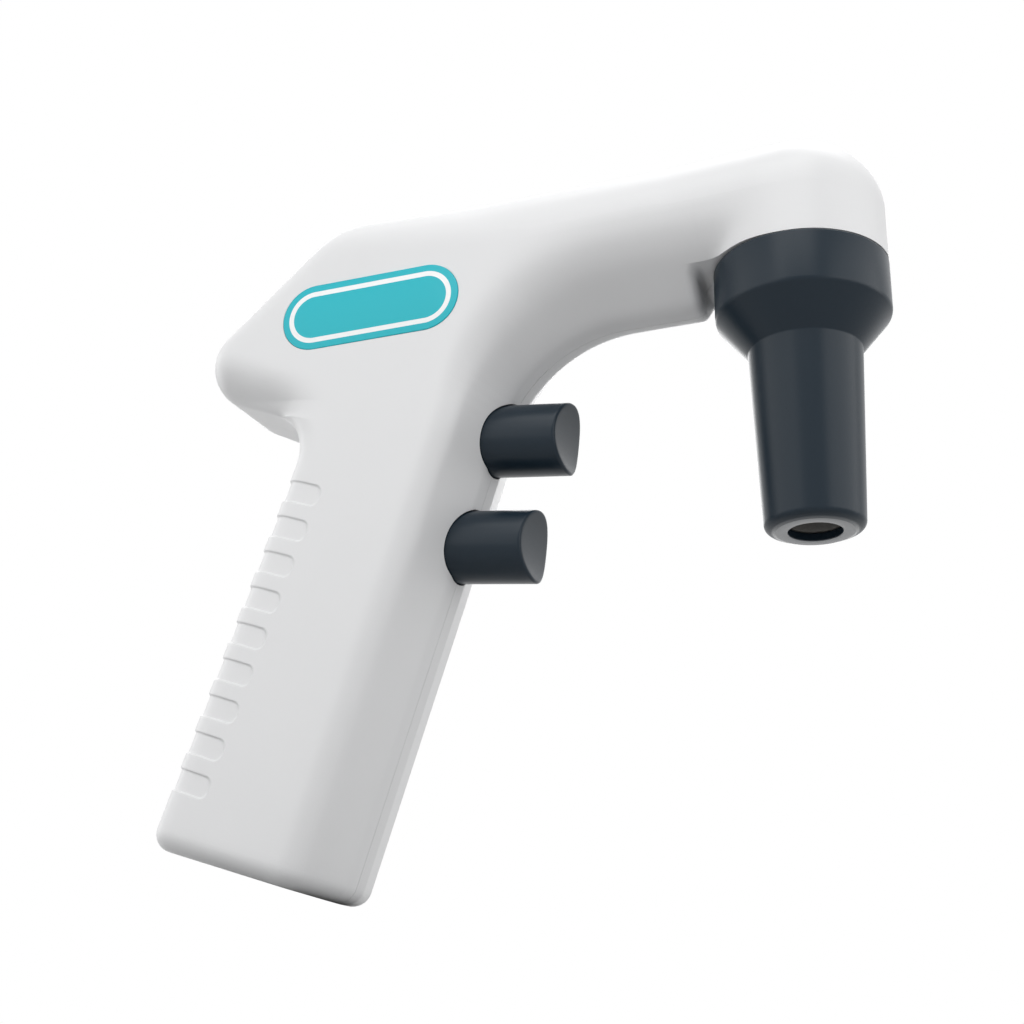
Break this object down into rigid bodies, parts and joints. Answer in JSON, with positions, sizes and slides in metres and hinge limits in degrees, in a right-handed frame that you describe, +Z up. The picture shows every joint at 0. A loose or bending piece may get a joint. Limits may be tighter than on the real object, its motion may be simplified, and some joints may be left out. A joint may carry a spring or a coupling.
{
  "type": "motorised pipette controller",
  "caption": "Pistol-grip motorised pipette controller with two sprung trigger buttons, a screw-on nose cone and a split shell around its pump, valves and battery.",
  "frame": {"origin": "centre of the bounding box at the level of the grip foot's lowest point", "axes": "+X forward along the arm towards the nose, +Y to the controller's left-hand side as seen from behind, +Z up along the pipette's axis"},
  "size_m": [0.155, 0.036, 0.1515],
  "materials": {
    "pale_shell_plastic": "satin moulded shell",
    "dark_nose_plastic": "satin moulded",
    "teal_badge_film": "satin film",
    "grey_silicone": "moulded silicone",
    "filter_plastic": "moulded",
    "filter_membrane": "porous film",
    "bright_steel": "bright",
    "brass": "plain",
    "white_acetal": "machined",
    "black_rubber": "moulded",
    "green_board": "laminate",
    "black_plastic": "moulded",
    "battery_sleeve": "film-sleeved can",
    "clear_hose": "extruded silicone"
  },
  "bodies": {
    "housing": {"housing_left": "pale_shell_plastic", "housing_right": "pale_shell_plastic", "badge_plate": "teal_badge_film", "upper_return_spring": "bright_steel", "lower_return_spring": "bright_steel", "pump_motor": "bright_steel", "housing_screw_head": "bright_steel", "housing_screw_arm": "bright_steel", "housing_screw_tail": "bright_steel", "housing_screw_web": "bright_steel", "housing_screw_foot": "bright_steel", "battery_contact_front": "brass", "battery_contact_rear": "brass", "battery_link": "brass", "nose_socket": "white_acetal", "valve_block": "white_acetal", "pump_frame": "white_acetal", "pump_rod": "white_acetal", "pump_head": "white_acetal", "upper_stem_seal": "black_rubber", "lower_stem_seal": "black_rubber", "pump_diaphragm": "black_rubber", "circuit_board": "green_board", "upper_switch": "black_plastic", "lower_switch": "black_plastic", "battery_tray": "black_plastic", "charging_socket": "black_plastic", "battery_cell_front": "battery_sleeve", "battery_cell_rear": "battery_sleeve", "pressure_hose": "clear_hose", "suction_hose": "clear_hose", "nose_hose": "clear_hose"},
    "upper_button": {"upper_button": "dark_nose_plastic", "upper_valve_stem": "bright_steel"},
    "lower_button": {"lower_button": "dark_nose_plastic", "lower_valve_stem": "bright_steel"},
    "crank": {"pump_crank": "bright_steel"},
    "nose_seal": {"seal_ring": "black_rubber"},
    "nose": {"nose_cone": "dark_nose_plastic", "pipette_holder": "grey_silicone", "filter_lower_half": "filter_plastic", "filter_membrane": "filter_membrane", "filter_upper_half": "filter_plastic"}
  },
  "joints": [
    {"name": "upper_button_slide", "type": "slide", "parent": "housing", "child": "upper_button", "axis": [-0.994, 0, 0.1092], "range_m": [0, 0.004], "stiffness_N_per_m": 400, "springref_m": -0.004, "deforming": ["upper_return_spring"]},
    {"name": "lower_button_slide", "type": "slide", "parent": "housing", "child": "lower_button", "axis": [-0.994, 0, 0.1092], "range_m": [0, 0.004], "stiffness_N_per_m": 400, "springref_m": -0.004, "deforming": ["lower_return_spring"]},
    {"name": "crank_spin", "type": "hinge", "parent": "housing", "child": "crank", "pos_m": [-0.0245, 0, 0.1306], "axis": [1, 0, 0], "continuous": true},
    {"name": "nose_travel", "type": "slide", "parent": "housing", "child": "nose_seal", "axis": [0, 0, -1], "range_m": [0, 0.006]},
    {"name": "nose_turn", "type": "hinge", "parent": "nose_seal", "child": "nose", "pos_m": [0.0595, 0, 0.1141], "axis": [0, 0, -1], "range_deg": [0, 360]}
  ],
  "couplings": [
    {"joint": "nose_turn", "follows": "nose_travel", "rad_per_m": 1047.2}
  ]
}
